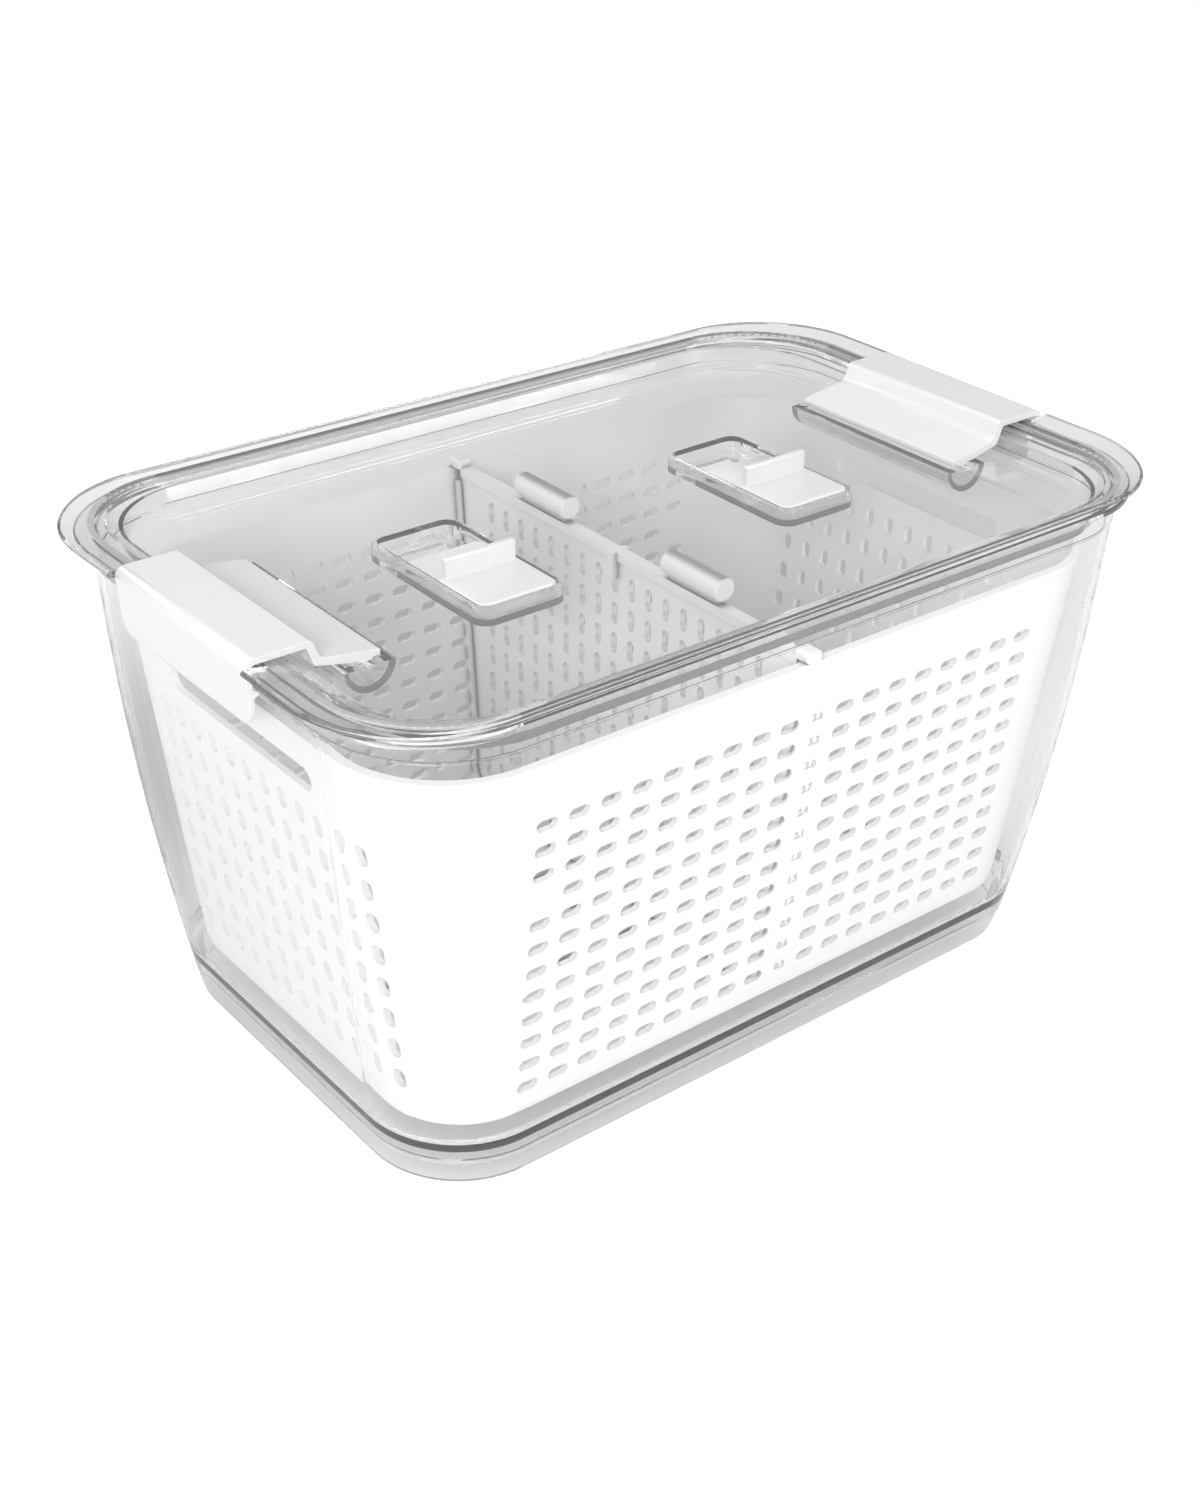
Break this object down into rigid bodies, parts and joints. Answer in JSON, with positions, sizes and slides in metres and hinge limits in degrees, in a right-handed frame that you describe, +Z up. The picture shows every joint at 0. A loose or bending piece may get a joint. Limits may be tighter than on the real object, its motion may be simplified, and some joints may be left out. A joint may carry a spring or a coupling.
{
  "type": "fridge bin",
  "caption": "Clear lidded fridge bin with a perforated basket, a removable divider, vented lid and hinged snap clips.",
  "frame": {"origin": "centre of the foot's underside, where the bin rests", "axes": "+X along the long side towards the right clip, +Y towards the back long side, +Z up"},
  "size_m": [0.3, 0.1896, 0.1629],
  "materials": {
    "clear_tub": "clear moulded plastic, gloss",
    "clear_lid": "clear moulded plastic, gloss",
    "silicone": "translucent silicone, satin",
    "white_clip": "moulded white plastic, gloss",
    "white_basket": "moulded white plastic, satin"
  },
  "bodies": {
    "bin": {"bin_shell": "clear_tub"},
    "basket": {"colander_basket": "white_basket", "basket_left_grip": "white_basket", "basket_right_grip": "white_basket"},
    "divider": {"divider": "white_basket"},
    "lid": {"lid_shell": "clear_lid", "lid_gasket": "silicone"},
    "left_clip": {"left_clip": "white_clip"},
    "right_clip": {"right_clip": "white_clip"},
    "left_vent": {"left_vent_slider": "white_clip"},
    "right_vent": {"right_vent_slider": "white_clip"}
  },
  "joints": [
    {"name": "basket_lift", "type": "slide", "parent": "bin", "child": "basket", "axis": [0, 0, 1], "range_m": [0, 0.15]},
    {"name": "divider_lift", "type": "slide", "parent": "basket", "child": "divider", "axis": [0, 0, 1], "range_m": [0, 0.13]},
    {"name": "lid_lift", "type": "slide", "parent": "divider", "child": "lid", "axis": [0, 0, 1], "range_m": [0, 0.06]},
    {"name": "left_clip_hinge", "type": "hinge", "parent": "lid", "child": "left_clip", "pos_m": [-0.1125, 0, 0.1504], "axis": [0, 1, 0], "range_deg": [0, 100]},
    {"name": "right_clip_hinge", "type": "hinge", "parent": "lid", "child": "right_clip", "pos_m": [0.1125, 0, 0.1504], "axis": [0, -1, 0], "range_deg": [0, 100]},
    {"name": "left_vent_slide", "type": "slide", "parent": "lid", "child": "left_vent", "axis": [0, 1, 0], "range_m": [0, 0.0155]},
    {"name": "right_vent_slide", "type": "slide", "parent": "lid", "child": "right_vent", "axis": [0, 1, 0], "range_m": [0, 0.0155]}
  ]
}
